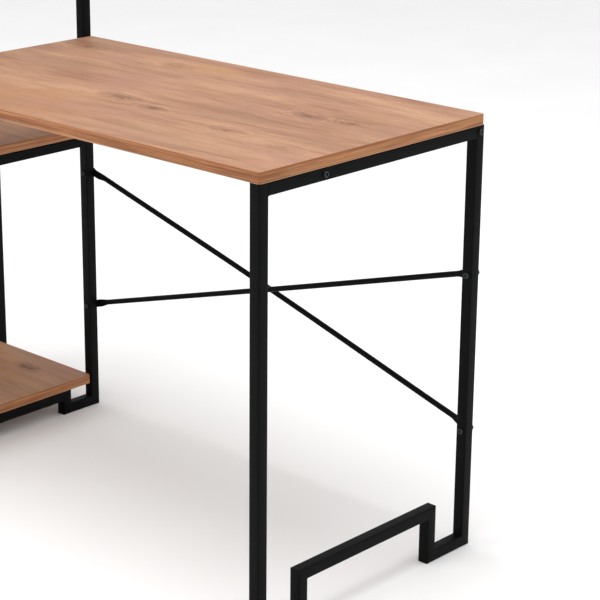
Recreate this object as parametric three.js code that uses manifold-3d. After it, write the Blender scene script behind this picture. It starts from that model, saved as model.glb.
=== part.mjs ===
// Straight writing desk with a shelf tower at its left end, in millimetres, +Z up.
// While it is being put together, X = 0 is the plane where desktop and tower meet, with +X
// along the desktop, Y = 0 is the back of the frames, with the sitter at -Y, and Z = 0 is the floor.
// At the end the whole desk is moved so that the origin is the middle of its footprint.

import * as THREE from 'three';
import * as BufferGeometryUtils from 'three/addons/utils/BufferGeometryUtils.js';
import Module from 'manifold-3d';

const wasm = await Module();
wasm.setup();

// ---------- driving dimensions ----------

const DEPTH = 520;                // front to back, of the frames and of the desktop
const DESK_LENGTH = 940;          // desktop, from the tower to its right end
const TOWER_WIDTH = 310;          // tower, over the outer faces of its two frames
const DESK_HEIGHT = 750;          // top of the desktop
const BOARD = 18;                 // board thickness
const EDGE_BAND = 1;              // thickness of the band glued round a board
const BOARD_CORNER = 6;           // radius of a board's corners, seen from above
const BOARD_CORNER_SIDES = 4;

const TUBE = 20;                  // square frame tube, outside
const WALL = 1.2;                 // its wall
const TUBE_CORNER = 2.2;          // its outer corner radius

const FIRST_SHELF = 49;           // underside of the lowest shelf, which is its bar's top
const SHELF_PITCH = 508;          // from each shelf to the next
const SHELF_CLEARANCE = 2;        // between a shelf and the posts in front of it and behind it
const TOWER_SETBACK = 74;         // from the front or back face to a tower frame's riser
const DESK_STEP_HEIGHT = 100;     // top of the right frame's step bar
const DESK_SETBACK = 92;          // from the front or back face to the right frame's riser

const FRONT_RAIL_INSET = 140;     // from the desk's front to the front rail's centre line
const BRACE_HIGH = 482;           // upper brace bolts above the floor
const BRACE_LOW = 209;            // lower brace bolts above the floor
const ROD_RADIUS = 5;
const ROD_BOW = 5.3;              // how far each rod bends away at the crossing

const SEAT = 0.3;                 // gap between pieces that rest on or meet each other
const WELD_GAP = 0.15;            // each tube end's share of the gap at a welded joint

const BOLT_RADIUS = 3;            // M6
const BOLT_HEAD_RADIUS = 5.25;
const BOLT_HEAD_HEIGHT = 3.3;
const BOLT_LENGTH = 30;
const BOLT_HEAD_EDGE = 0.7;       // height of the head's straight edge, below its dome
const BOLT_CHAMFER = 0.8;         // at the tip
const SOCKET_RADIUS = 2.3;        // hexagon socket, over the corners
const SOCKET_DEPTH = 2;
const SOCKET_LAND = 0.6;          // flat ring round the socket
const BOLT_HOLE_RADIUS = 3.4;
const NUT_RADIUS = 5.77;          // over the corners
const NUT_HEIGHT = 5;
const SCREW_BITE = 11;            // how far a wood screw goes up into a board
const SCREW_HOLE_RADIUS = 2.4;
const RAIL_SCREW_PITCH = 310;     // between the wood screws along a rail
const BAR_SCREW_PITCH = 320;      // between the two wood screws of a bar
const END_PLATE = 4;              // threaded plate welded inside each rail end

const ROUND_SIDES = 12;           // facets round bolts, rods and their holes
const SCREW_HOLE_SIDES = 8;
const HEXAGON = 6;
const MERGE_DISTANCE = 1e-4;      // points closer than this are one

// ---------- worked out from them ----------

const HALF_TUBE = TUBE / 2;
const DESK_UNDERSIDE = DESK_HEIGHT - BOARD;
const RAIL_Z = DESK_UNDERSIDE - HALF_TUBE;
const FRONT_RAIL_Y = -DEPTH + FRONT_RAIL_INSET;
const BACK_Y = -HALF_TUBE;
const FRONT_Y = -DEPTH + HALF_TUBE;
const OUTER_X = -TOWER_WIDTH + HALF_TUBE;
const INNER_X = -HALF_TUBE;
const RIGHT_X = DESK_LENGTH - HALF_TUBE;
const SHELF_LEVELS = [0, 1, 2, 3].map((i) => FIRST_SHELF + i * SHELF_PITCH);
const TOWER_FRAME_TOP = SHELF_LEVELS[3];

const ALONG_X = new THREE.Vector3(1, 0, 0);
const ALONG_Y = new THREE.Vector3(0, 1, 0);
const ALONG_Z = new THREE.Vector3(0, 0, 1);

const material = {
  frame: () => new THREE.MeshStandardMaterial({ color: 0x1b1c20, roughness: 0.48, metalness: 0.25 }),
  board: () => new THREE.MeshStandardMaterial({ color: 0xc59a78, roughness: 0.55, metalness: 0 }),
  band: () => new THREE.MeshStandardMaterial({ color: 0xa87850, roughness: 0.5, metalness: 0 }),
  bolt: () => new THREE.MeshStandardMaterial({ color: 0x2a2b2e, roughness: 0.35, metalness: 0.8 }),
};

const desk = new THREE.Group();

function add(name, geometry, makeMaterial, place = new THREE.Matrix4()) {
  const mesh = new THREE.Mesh(geometry, makeMaterial());
  mesh.name = name;
  mesh.applyMatrix4(place);
  mesh.updateMatrixWorld();
  desk.add(mesh);
  return mesh;
}

// ---------- solids: cutting holes ----------

function positionsOnly(geometry) {
  const bare = geometry.clone();
  bare.deleteAttribute('normal');
  bare.deleteAttribute('uv');
  return BufferGeometryUtils.mergeVertices(bare, MERGE_DISTANCE);
}

function toSolid(geometry) {
  const merged = positionsOnly(geometry);
  return new wasm.Manifold(new wasm.Mesh({
    numProp: 3,
    vertProperties: new Float32Array(merged.attributes.position.array),
    triVerts: new Uint32Array(merged.index.array),
  }));
}

function toGeometry(solid) {
  const mesh = solid.getMesh();
  const geometry = new THREE.BufferGeometry();
  geometry.setAttribute('position', new THREE.BufferAttribute(mesh.vertProperties, 3));
  geometry.setIndex(new THREE.BufferAttribute(mesh.triVerts, 1));
  return geometry;
}

// A cutter is a cylinder centred on a point of the desk, along one direction.
function cutter(centre, direction, radius, length, sides = ROUND_SIDES) {
  const turn = new THREE.Quaternion().setFromUnitVectors(ALONG_Y, direction);
  return new THREE.CylinderGeometry(radius, radius, length, sides)
    .applyQuaternion(turn)
    .translate(centre.x, centre.y, centre.z);
}

function drill(mesh, cutters) {
  const toLocal = mesh.matrix.clone().invert();
  let solid = toSolid(mesh.geometry);
  for (const one of cutters) {
    solid = solid.subtract(toSolid(one.clone().applyMatrix4(toLocal)));
  }
  mesh.geometry = toGeometry(solid);
}

// ---------- square tube ----------

function roundedRectangle(path, halfX, halfY, radius) {
  path.moveTo(halfX, -halfY + radius);
  path.absarc(halfX - radius, halfY - radius, radius, 0, Math.PI / 2);
  path.absarc(-halfX + radius, halfY - radius, radius, Math.PI / 2, Math.PI);
  path.absarc(-halfX + radius, -halfY + radius, radius, Math.PI, 1.5 * Math.PI);
  path.absarc(halfX - radius, -halfY + radius, radius, 1.5 * Math.PI, 2 * Math.PI);
  return path;
}

function squarePath(half) {
  const corners = [[-1, -1], [1, -1], [1, 1], [-1, 1]];
  return new THREE.Path(corners.map(([x, y]) => new THREE.Vector2(half * x, half * y)));
}

function tubeSection() {
  const section = roundedRectangle(new THREE.Shape(), HALF_TUBE, HALF_TUBE, TUBE_CORNER);
  section.holes.push(squarePath(HALF_TUBE - WALL));
  return section;
}

// A tube between two points of its centre line. Where it is mitred to a neighbour,
// cameFrom or goesTo is the neighbour's direction, along the run of the frame;
// without one the end is cut square, and stands off what it meets by the weld gap.
function tube(name, from, to, { cameFrom = null, goesTo = null } = {}) {
  const direction = to.clone().sub(from);
  const length = direction.length();
  direction.normalize();
  const turn = new THREE.Quaternion().setFromUnitVectors(ALONG_Z, direction);
  const toLocal = turn.clone().invert();
  const before = cameFrom && cameFrom.clone().applyQuaternion(toLocal);
  const after = goesTo && goesTo.clone().applyQuaternion(toLocal);
  const geometry = new THREE.ExtrudeGeometry(tubeSection(), {
    depth: length, bevelEnabled: false, curveSegments: 2,
  });
  const points = geometry.attributes.position;
  for (let i = 0; i < points.count; i += 1) {
    const offset = new THREE.Vector3(points.getX(i), points.getY(i), 0);
    const atEnd = points.getZ(i) > length / 2;
    if (atEnd) {
      points.setZ(i, length - WELD_GAP - (after ? offset.dot(after) : 0));
    } else {
      points.setZ(i, WELD_GAP - (before ? offset.dot(before) : 0));
    }
  }
  const place = new THREE.Matrix4().compose(from, turn, new THREE.Vector3(1, 1, 1));
  return add(name, geometry, material.frame, place);
}

// ---------- frames ----------

// One end frame in a plane of constant X. Its lower edge runs foot, riser, step bar,
// riser, foot between a front and a back upright, mitred at every turn.
function endFrame(prefix, upright, x, top, stepTop, setback, bars) {
  const at = (y, z) => new THREE.Vector3(x, y, z);
  const up = ALONG_Z;
  const down = ALONG_Z.clone().negate();
  const back = ALONG_Y;
  const floor = HALF_TUBE;
  const step = stepTop - HALF_TUBE;
  const riserFront = -DEPTH + setback + HALF_TUBE;
  const riserBack = -setback - HALF_TUBE;
  const parts = {};
  const run = (part, from, to, turns) => {
    parts[part] = tube(`${prefix}_${part}`, from, to, turns);
  };
  run(`front_${upright}`, at(FRONT_Y, top), at(FRONT_Y, floor), { goesTo: back });
  run('front_foot', at(FRONT_Y, floor), at(riserFront, floor), { cameFrom: down, goesTo: up });
  run('front_riser', at(riserFront, floor), at(riserFront, step), { cameFrom: back, goesTo: back });
  run('step_bar', at(riserFront, step), at(riserBack, step), { cameFrom: up, goesTo: down });
  run('back_riser', at(riserBack, step), at(riserBack, floor), { cameFrom: back, goesTo: back });
  run('back_foot', at(riserBack, floor), at(BACK_Y, floor), { cameFrom: down, goesTo: up });
  run(`back_${upright}`, at(BACK_Y, floor), at(BACK_Y, top), { cameFrom: back });
  for (const [bar, barTop] of Object.entries(bars)) {
    const z = barTop - HALF_TUBE;
    run(bar, at(FRONT_Y + HALF_TUBE, z), at(BACK_Y - HALF_TUBE, z));
  }
  return parts;
}

const shelfBars = {
  middle_bar: SHELF_LEVELS[1],
  upper_bar: SHELF_LEVELS[2],
  top_bar: SHELF_LEVELS[3],
};

const outerFrame = endFrame(
  'outer', 'post', OUTER_X, TOWER_FRAME_TOP, FIRST_SHELF, TOWER_SETBACK, shelfBars,
);
const innerFrame = endFrame(
  'inner', 'post', INNER_X, TOWER_FRAME_TOP, FIRST_SHELF, TOWER_SETBACK,
  { ...shelfBars, desk_bar: DESK_UNDERSIDE },
);
const rightFrame = endFrame(
  'right', 'leg', RIGHT_X, DESK_UNDERSIDE, DESK_STEP_HEIGHT, DESK_SETBACK,
  { top_bar: DESK_UNDERSIDE },
);

// Two rails under the desktop, from the inner tower frame to the right frame.
const railEnds = [INNER_X + HALF_TUBE, RIGHT_X - HALF_TUBE];
const railRows = { front_rail: FRONT_RAIL_Y, back_rail: BACK_Y };
const rails = {};
for (const [name, y] of Object.entries(railRows)) {
  const [left, right] = railEnds.map((x) => new THREE.Vector3(x, y, RAIL_Z));
  rails[name] = tube(name, left, right);
}

// ---------- boards and their edge bands ----------

function board(name, x0, x1, y0, y1, underside) {
  const size = new THREE.Vector3(x1 - x0, y1 - y0, BOARD);
  const centre = new THREE.Vector3((x0 + x1) / 2, (y0 + y1) / 2, underside + BOARD / 2);
  const place = new THREE.Matrix4().setPosition(centre);
  const inset = (path, by) => roundedRectangle(
    path, size.x / 2 - by, size.y / 2 - by, BOARD_CORNER - by,
  );
  const slab = (shape) => new THREE.ExtrudeGeometry(shape, {
    depth: BOARD - SEAT, bevelEnabled: false, curveSegments: BOARD_CORNER_SIDES,
  }).translate(0, 0, SEAT - BOARD / 2);

  const mesh = add(`${name}_board`, slab(inset(new THREE.Shape(), EDGE_BAND)), material.board, place);
  const ring = inset(new THREE.Shape(), 0);
  ring.holes.push(inset(new THREE.Path(), EDGE_BAND - SEAT));
  add(`${name}_edge_band`, slab(ring), material.band, place);
  return mesh;
}

const desktop = board('desktop', SEAT, DESK_LENGTH, -DEPTH, 0, DESK_UNDERSIDE);
const shelfInset = TUBE + SHELF_CLEARANCE;
const shelves = ['bottom_shelf', 'middle_shelf', 'upper_shelf'].map((name, i) => board(
  name, -TOWER_WIDTH, 0, -DEPTH + shelfInset, -shelfInset, SHELF_LEVELS[i],
));
shelves.push(board('top_shelf', -TOWER_WIDTH, 0, -DEPTH, 0, SHELF_LEVELS[3]));

// ---------- crossed brace rods behind the desk ----------

const TAB_END = 8;                // beyond the bolt
const TAB_FLAT = 18;              // fully flat, from the bolt inwards
const TAB_BLEND = 22;             // from flat to round
const TAB_HALF_WIDTH = 7.4;
const TAB_HALF_THICKNESS = 1.25;
const NOSE_RINGS = [0.95, 0.75, 0.375, 0];     // shares of the rounded end, from its tip
const BLEND_RINGS = [0, 0.25, 0.5, 0.75, 1];   // shares of the blend, from its flat end
const ROD_STEPS = 10;             // along the round part
const FLAT_SIDES = 2;             // makes every side but the two narrow ones flat

const smooth = (t) => t * t * (3 - 2 * t);

// Where the rings of a rod lie, measured from its first bolt.
function rodRings(length) {
  const half = [
    ...NOSE_RINGS.map((share) => -share * TAB_END),
    ...BLEND_RINGS.map((share) => TAB_FLAT + share * TAB_BLEND),
  ];
  const start = TAB_FLAT + TAB_BLEND;
  const step = (length - 2 * start) / ROD_STEPS;
  const middle = Array.from({ length: ROD_STEPS - 1 }, (_, i) => start + (i + 1) * step);
  return [...half, ...middle, ...half.map((s) => length - s).reverse()];
}

// The rod's section at a distance s along it: half width, half thickness, how square it is,
// and how far its middle stands behind the posts. The bend is nothing at both ends and the
// whole bow at the crossing.
function rodSection(s, length, bow) {
  const fromEnd = Math.min(s, length - s);
  const round = smooth(THREE.MathUtils.clamp((fromEnd - TAB_FLAT) / TAB_BLEND, 0, 1));
  const nose = fromEnd < 0 ? Math.sqrt(1 - (fromEnd / TAB_END) ** 2) : 1;
  const u = THREE.MathUtils.clamp(s / length, 0, 1);
  const bend = bow * 16 * u * u * (1 - u) * (1 - u);
  return {
    halfWidth: nose * THREE.MathUtils.lerp(TAB_HALF_WIDTH, ROD_RADIUS, round),
    halfThickness: THREE.MathUtils.lerp(TAB_HALF_THICKNESS, ROD_RADIUS, round),
    squareness: THREE.MathUtils.lerp(FLAT_SIDES, 1, round),
    behind: THREE.MathUtils.lerp(TAB_HALF_THICKNESS + SEAT, ROD_RADIUS + SEAT, round) + bend,
  };
}

// A round rod, pressed flat at both ends, between two bolts in the frames' back faces.
function braceRod(name, from, to, bow) {
  const direction = to.clone().sub(from);
  const length = direction.length();
  direction.normalize();
  const across = direction.clone().cross(ALONG_Y);
  const rings = rodRings(length);
  const geometry = new THREE.CylinderGeometry(1, 1, 1, ROUND_SIDES, rings.length - 1);
  const points = geometry.attributes.position;
  for (let i = 0; i < points.count; i += 1) {
    const s = rings[Math.round((points.getY(i) + 0.5) * (rings.length - 1))];
    const section = rodSection(s, length, bow);
    const side = THREE.MathUtils.clamp(section.squareness * points.getZ(i), -1, 1);
    const point = direction.clone().multiplyScalar(s)
      .addScaledVector(across, section.halfWidth * points.getX(i))
      .addScaledVector(ALONG_Y, section.behind + section.halfThickness * side);
    points.setXYZ(i, point.x, point.y, point.z);
  }
  return add(name, geometry, material.frame, new THREE.Matrix4().setPosition(from));
}

const braceEnd = (x, z) => new THREE.Vector3(x, 0, z);
const fallingRod = braceRod(
  'falling_brace_rod', braceEnd(INNER_X, BRACE_HIGH), braceEnd(RIGHT_X, BRACE_LOW), ROD_BOW,
);
const risingRod = braceRod(
  'rising_brace_rod', braceEnd(INNER_X, BRACE_LOW), braceEnd(RIGHT_X, BRACE_HIGH), -ROD_BOW,
);

// ---------- bolts, nuts and threaded plates ----------

// Button-head bolt along +Z, its head's seat at Z = 0 and the head below it.
function boltShape() {
  const rim = SOCKET_RADIUS + SOCKET_LAND;
  const domeHeight = BOLT_HEAD_HEIGHT - BOLT_HEAD_EDGE;
  const dome = [0, 0.4, 0.7, 1].map((share) => new THREE.Vector2(
    rim + (BOLT_HEAD_RADIUS - rim) * Math.sin(share * Math.PI / 2),
    -BOLT_HEAD_EDGE - domeHeight * Math.cos(share * Math.PI / 2),
  ));
  const profile = [
    new THREE.Vector2(0, -BOLT_HEAD_HEIGHT),
    ...dome,
    new THREE.Vector2(BOLT_HEAD_RADIUS, 0),
    new THREE.Vector2(BOLT_RADIUS, 0),
    new THREE.Vector2(BOLT_RADIUS, BOLT_LENGTH - BOLT_CHAMFER),
    new THREE.Vector2(BOLT_RADIUS - BOLT_CHAMFER, BOLT_LENGTH),
    new THREE.Vector2(0, BOLT_LENGTH),
  ];
  const blank = new THREE.LatheGeometry(profile, ROUND_SIDES).rotateX(Math.PI / 2);
  const socketAt = new THREE.Vector3(0, 0, -BOLT_HEAD_HEIGHT);
  const socket = cutter(socketAt, ALONG_Z, SOCKET_RADIUS, 2 * SOCKET_DEPTH, HEXAGON);
  return toGeometry(toSolid(blank).subtract(toSolid(socket)));
}

// Hexagon nut along +Z, starting at Z = 0.
function nutShape() {
  const centre = new THREE.Vector3(0, 0, NUT_HEIGHT / 2);
  const blank = cutter(centre, ALONG_Z, NUT_RADIUS, NUT_HEIGHT, HEXAGON);
  const thread = cutter(centre, ALONG_Z, BOLT_HOLE_RADIUS, 2 * NUT_HEIGHT);
  return toGeometry(toSolid(blank).subtract(toSolid(thread)));
}

// Threaded plate along +Z, starting at Z = 0, that closes a rail's end.
function endPlateShape() {
  const half = HALF_TUBE - WALL - SEAT;
  const outline = roundedRectangle(new THREE.Shape(), half, half, TUBE_CORNER - WALL);
  const blank = new THREE.ExtrudeGeometry(outline, {
    depth: END_PLATE, bevelEnabled: false, curveSegments: 1,
  });
  const thread = cutter(new THREE.Vector3(), ALONG_Z, BOLT_HOLE_RADIUS, 3 * END_PLATE);
  return toGeometry(toSolid(blank).subtract(toSolid(thread)));
}

// A fastener's place is where it sits and the direction in which it goes into the work.
function fasten(name, shape, { seat, into }, makeMaterial) {
  const turn = new THREE.Quaternion().setFromUnitVectors(ALONG_Z, into);
  const place = new THREE.Matrix4().compose(seat, turn, new THREE.Vector3(1, 1, 1));
  return add(name, shape.clone(), makeMaterial, place);
}

const boltHole = ({ seat, into }) => cutter(seat, into, BOLT_HOLE_RADIUS, 3 * TUBE);
const bolt = boltShape();
const nut = nutShape();
const endPlate = endPlateShape();

// Each rail is bolted through the inner tower frame and through the right frame.
const railJoints = [
  { name: 'front_left', y: FRONT_RAIL_Y, side: -1, through: innerFrame.desk_bar },
  { name: 'front_right', y: FRONT_RAIL_Y, side: 1, through: rightFrame.top_bar },
  { name: 'back_left', y: BACK_Y, side: -1, through: innerFrame.back_post },
  { name: 'back_right', y: BACK_Y, side: 1, through: rightFrame.back_leg },
];
for (const { name, y, side, through } of railJoints) {
  const railEnd = side < 0 ? railEnds[0] : railEnds[1];
  const into = ALONG_X.clone().multiplyScalar(-side);
  const head = { seat: new THREE.Vector3(railEnd + side * (TUBE + SEAT), y, RAIL_Z), into };
  const plateX = railEnd - side * (WELD_GAP + SEAT);
  fasten(`rail_bolt_${name}`, bolt, head, material.bolt);
  fasten(`rail_end_plate_${name}`, endPlate, {
    seat: new THREE.Vector3(plateX, y, RAIL_Z), into,
  }, material.frame);
  drill(through, [boltHole(head)]);
}

// Each rod end is bolted through a back upright, with the nut behind it.
const braceJoints = [
  { name: 'high_left', x: INNER_X, z: BRACE_HIGH, through: innerFrame.back_post, rod: fallingRod },
  { name: 'low_left', x: INNER_X, z: BRACE_LOW, through: innerFrame.back_post, rod: risingRod },
  { name: 'high_right', x: RIGHT_X, z: BRACE_HIGH, through: rightFrame.back_leg, rod: risingRod },
  { name: 'low_right', x: RIGHT_X, z: BRACE_LOW, through: rightFrame.back_leg, rod: fallingRod },
];
const nutY = 2 * TAB_HALF_THICKNESS + 2 * SEAT;
for (const { name, x, z, through, rod } of braceJoints) {
  const head = { seat: new THREE.Vector3(x, -TUBE - SEAT, z), into: ALONG_Y };
  fasten(`brace_bolt_${name}`, bolt, head, material.bolt);
  fasten(`brace_nut_${name}`, nut, {
    seat: new THREE.Vector3(x, nutY, z), into: ALONG_Y,
  }, material.bolt);
  drill(through, [boltHole(head)]);
  drill(rod, [boltHole(head)]);
}

// ---------- holes for the wood screws that hold the boards down ----------

// Screws go up through a rail or a bar into the board above it.
function screwHoles(mesh, boardMesh, points) {
  const length = 2 * (TUBE + SCREW_BITE);
  const holes = points.map((point) => cutter(
    point, ALONG_Z, SCREW_HOLE_RADIUS, length, SCREW_HOLE_SIDES,
  ));
  drill(mesh, holes);
  drill(boardMesh, holes);
}

const railScrewX = [-1, 0, 1].map((place) => DESK_LENGTH / 2 + place * RAIL_SCREW_PITCH);
const barScrewY = [-0.5, 0.5].map((place) => -DEPTH / 2 + place * BAR_SCREW_PITCH);
const barScrews = (x, barTop) => barScrewY.map((y) => new THREE.Vector3(x, y, barTop - TUBE));

for (const [name, y] of Object.entries(railRows)) {
  const points = railScrewX.map((x) => new THREE.Vector3(x, y, DESK_UNDERSIDE - TUBE));
  screwHoles(rails[name], desktop, points);
}
screwHoles(rightFrame.top_bar, desktop, barScrews(RIGHT_X, DESK_UNDERSIDE));
const shelfBarNames = ['step_bar', ...Object.keys(shelfBars)];
SHELF_LEVELS.forEach((level, i) => {
  screwHoles(innerFrame[shelfBarNames[i]], shelves[i], barScrews(INNER_X, level));
  screwHoles(outerFrame[shelfBarNames[i]], shelves[i], barScrews(OUTER_X, level));
});

// ---------- the origin: middle of the footprint, on the floor ----------

const extent = new THREE.Box3().setFromObject(desk);
const middle = extent.getCenter(new THREE.Vector3());
desk.position.set(-middle.x, -middle.y, -extent.min.z);

export default desk;
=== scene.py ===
import math
import random

import bmesh
import bpy
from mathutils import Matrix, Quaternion, Vector


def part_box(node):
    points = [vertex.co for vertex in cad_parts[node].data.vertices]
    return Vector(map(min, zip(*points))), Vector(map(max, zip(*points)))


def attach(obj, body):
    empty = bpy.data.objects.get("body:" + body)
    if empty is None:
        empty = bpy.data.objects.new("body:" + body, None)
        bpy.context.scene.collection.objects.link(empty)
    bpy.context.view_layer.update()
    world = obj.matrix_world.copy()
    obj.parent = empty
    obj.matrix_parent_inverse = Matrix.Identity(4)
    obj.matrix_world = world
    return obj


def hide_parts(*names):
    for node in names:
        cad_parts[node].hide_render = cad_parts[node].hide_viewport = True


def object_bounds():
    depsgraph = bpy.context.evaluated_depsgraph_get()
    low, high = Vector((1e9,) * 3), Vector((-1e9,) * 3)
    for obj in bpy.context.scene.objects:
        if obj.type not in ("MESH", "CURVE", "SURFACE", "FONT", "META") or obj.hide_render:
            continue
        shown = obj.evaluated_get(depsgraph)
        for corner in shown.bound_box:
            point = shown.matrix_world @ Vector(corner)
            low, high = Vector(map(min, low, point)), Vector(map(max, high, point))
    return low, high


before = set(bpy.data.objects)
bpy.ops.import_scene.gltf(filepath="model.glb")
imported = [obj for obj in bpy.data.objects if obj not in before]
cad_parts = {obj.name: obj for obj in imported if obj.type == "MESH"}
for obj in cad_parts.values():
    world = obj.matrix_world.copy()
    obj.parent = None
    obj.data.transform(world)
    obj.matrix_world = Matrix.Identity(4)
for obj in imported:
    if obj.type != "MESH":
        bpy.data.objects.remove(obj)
CAD_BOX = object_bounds()

MM = 0.001
LEFT, RIGHT = Vector((-1, 0, 0)), Vector((1, 0, 0))
FRONT, BACK = Vector((0, -1, 0)), Vector((0, 1, 0))
DOWN, UP = Vector((0, 0, -1)), Vector((0, 0, 1))

# ---------- sizes that a box does not give ----------

HALF_TUBE = 10 * MM
WALL = 1.2 * MM
TUBE_CORNER = 2.2 * MM
CORNER_STEPS = 6                  # points round a quarter of a rounded corner
WELD_GAP = 0.15 * MM              # each tube end's share of the gap in the frame's solids
CLOSED_GAP = 0.03 * MM            # what is left of it here
EDGE_BAND = 1 * MM
BOARD_CORNER = 6 * MM             # seen from above
BAND_EASING = 0.7 * MM            # radius of the band's upper and lower edge
EASING_STEPS = 4
GROOVE = 0.12 * MM                # chamfer on both sides of the glue line
SEAT = 0.3 * MM                   # from a frame's back face to a brace rod

TAB_END = 8 * MM                  # pressed end of a brace rod, beyond its bolt
TAB_FLAT = 18 * MM
TAB_BLEND = 22 * MM
TAB_HALF_WIDTH = 7.4 * MM
TAB_HALF_THICKNESS = 1.25 * MM
ROD_RADIUS = 5 * MM
ROD_BOW = 5.3 * MM                # how far a rod stands off its line where the two cross
ROD_SIDES = 32
TAB_SQUARENESS = 5                # how square a pressed end is; 2 is round
NOSE_STEPS, PRESSED_STEPS, PLAIN_STEPS = 10, 24, 40
NOSE_LEAST_WIDTH = 0.0016         # square of the least share of the width that a nose keeps
NOSE_LEAST_DEPTH = 0.04           # the same for its thickness
NOSE_THIN_FROM = 0.9              # share of the nose after which it gets thinner

BOLT_RADIUS = 3 * MM
BOLT_LENGTH = 30 * MM
HEAD_RADIUS = 5.25 * MM
HEAD_HEIGHT = 3.3 * MM
HEAD_EDGE = 0.7 * MM
HEAD_BREAK = 0.12 * MM            # chamfer at the head's seat
DOME_STEPS = 10
SOCKET_RADIUS = 2.3 * MM          # over the corners
SOCKET_DEPTH = 2 * MM
SOCKET_LIP = 0.15 * MM            # chamfer at the socket's mouth
SOCKET_LAND = 0.6 * MM            # flat ring round the socket
SOCKET_DIMPLE = (0.3 * MM, 0.25 * MM)   # radius and depth of the drill mark at its bottom
SHANK_FILLET = 0.2 * MM
THREAD_START = 12 * MM            # below the head's seat
THREAD_PITCH = 1 * MM
THREAD_DEPTH = 0.5 * MM
RINGS_PER_THREAD = 5
BOLT_POINT = 0.9 * MM             # how much thinner the tip's end is
TIP_RADIUS = 0.3 * MM             # of the ring that closes the tip

NUT_RADIUS = 5.77 * MM            # over the corners
NUT_FACE_SHARE = 0.96             # of the width over flats that the turned face takes
NUT_TURNED_ANGLE = 28             # slope of the turned-down corners, in degrees
NUT_CLEARANCE = 0.12 * MM
NUT_MOUTH = 0.45 * MM             # chamfer of the bore

SCREW_HEAD_RADIUS = 4 * MM
SCREW_HEAD_HEIGHT = 2.2 * MM
SCREW_HEAD_RINGS = 24
SCREW_DOME = 0.82                 # how strongly the head's top is domed; 1 is half a ball
SCREW_DOME_DROP = 0.8             # share of the head's height that the dome takes
SCREW_DOME_REACH = 0.97           # share of the radius that it takes
SCREW_RIM = 0.35                  # share of the height that the straight rim takes
SCREW_RADIUS = 1.9 * MM
SCREW_LENGTH = 30 * MM            # through the tube and 10 mm into the board
SCREW_POINT = 5 * MM
SCREW_TIP_RADIUS = 0.2 * MM
CROSS_HALF_WIDTH = 0.55 * MM      # cross recess in the head
CROSS_FLOOR = 1.6                 # the larger, the wider an arm's flat floor
CROSS_REACH = 2.1 * MM
CROSS_DEPTH = 1.3 * MM
CROSS_END = 0.5 * MM              # length over which an arm runs out
CROSS_SLOPE = 0.45                # how much shallower an arm is at its end

RAIL_SCREW_PITCH = 310 * MM
BAR_SCREW_PITCH = 320 * MM

# ---------- camera ----------

CAMERA_FROM_DESKTOP = Vector((2.3012, -2.1802, 0.7056))   # from the middle of the desktop
CAMERA_YAW = math.radians(43.49)                          # from +Y towards -X
CAMERA_PITCH = math.radians(17.56)                        # below level
CAMERA_ROLL = math.radians(0.23)
CAMERA_LENS = 116.97
CAMERA_SHIFT = (0.06, -0.05)


def middle(node):
    low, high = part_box(node)
    return (low + high) / 2


def mix(first, second, share):
    return first + (second - first) * share


def smooth(t):
    t = max(0.0, min(1.0, t))
    return t * t * (3 - 2 * t)


def make_camera():
    data = bpy.data.cameras.new("camera")
    data.lens = CAMERA_LENS
    data.shift_x, data.shift_y = CAMERA_SHIFT
    camera = bpy.data.objects.new("camera", data)
    bpy.context.scene.collection.objects.link(camera)
    camera.location = middle("desktop_board") + CAMERA_FROM_DESKTOP
    level = math.cos(CAMERA_PITCH)
    forward = Vector((
        -math.sin(CAMERA_YAW) * level, math.cos(CAMERA_YAW) * level, -math.sin(CAMERA_PITCH),
    ))
    turn = forward.to_track_quat("-Z", "Y") @ Quaternion(UP, CAMERA_ROLL)
    camera.rotation_euler = turn.to_euler()
    bpy.context.scene.camera = camera


make_camera()

# ---------- materials ----------


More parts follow.
